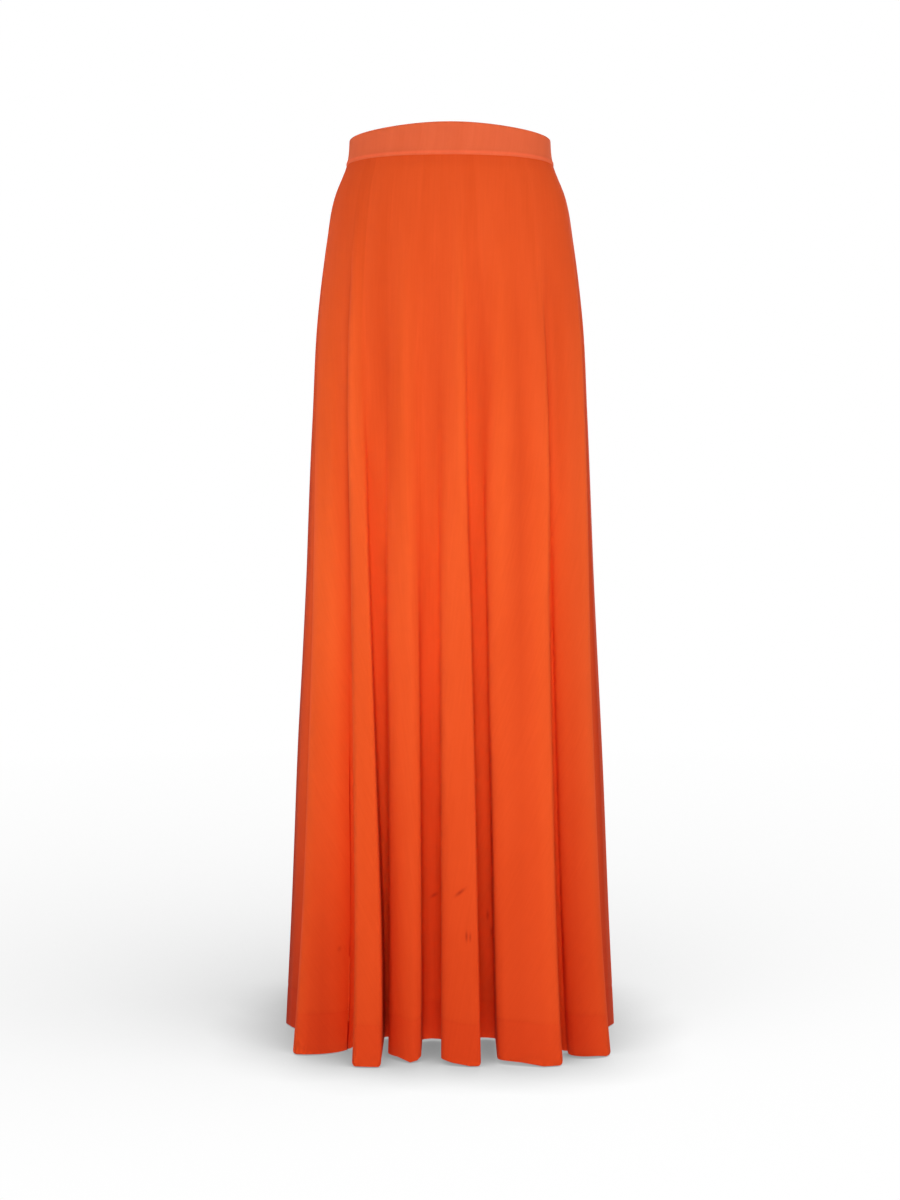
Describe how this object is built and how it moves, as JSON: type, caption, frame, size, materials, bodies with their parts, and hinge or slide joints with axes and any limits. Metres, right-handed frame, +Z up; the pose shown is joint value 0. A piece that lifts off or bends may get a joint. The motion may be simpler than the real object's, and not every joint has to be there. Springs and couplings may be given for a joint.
{
  "type": "maxi skirt",
  "caption": "Floor-length flared jersey skirt on a wide contoured waistband, hollow and hanging in deep folds as worn.",
  "frame": {"origin": "middle of the waist opening, half way up the waistband at the side seams", "axes": "+Z up along the skirt, -Y towards the front, +X towards the viewer's right when looking at the front"},
  "size_m": [0.387, 0.3981, 1.0483],
  "materials": {
    "jersey": "matt, smooth, fine-knit orange viscose jersey",
    "waistband_jersey": "matt, smooth, fine-knit jersey, doubled, a little paler orange"
  },
  "bodies": {
    "root": {"front_panel": "jersey", "back_panel": "jersey", "waistband_front": "waistband_jersey", "waistband_back": "waistband_jersey"}
  },
  "joints": []
}
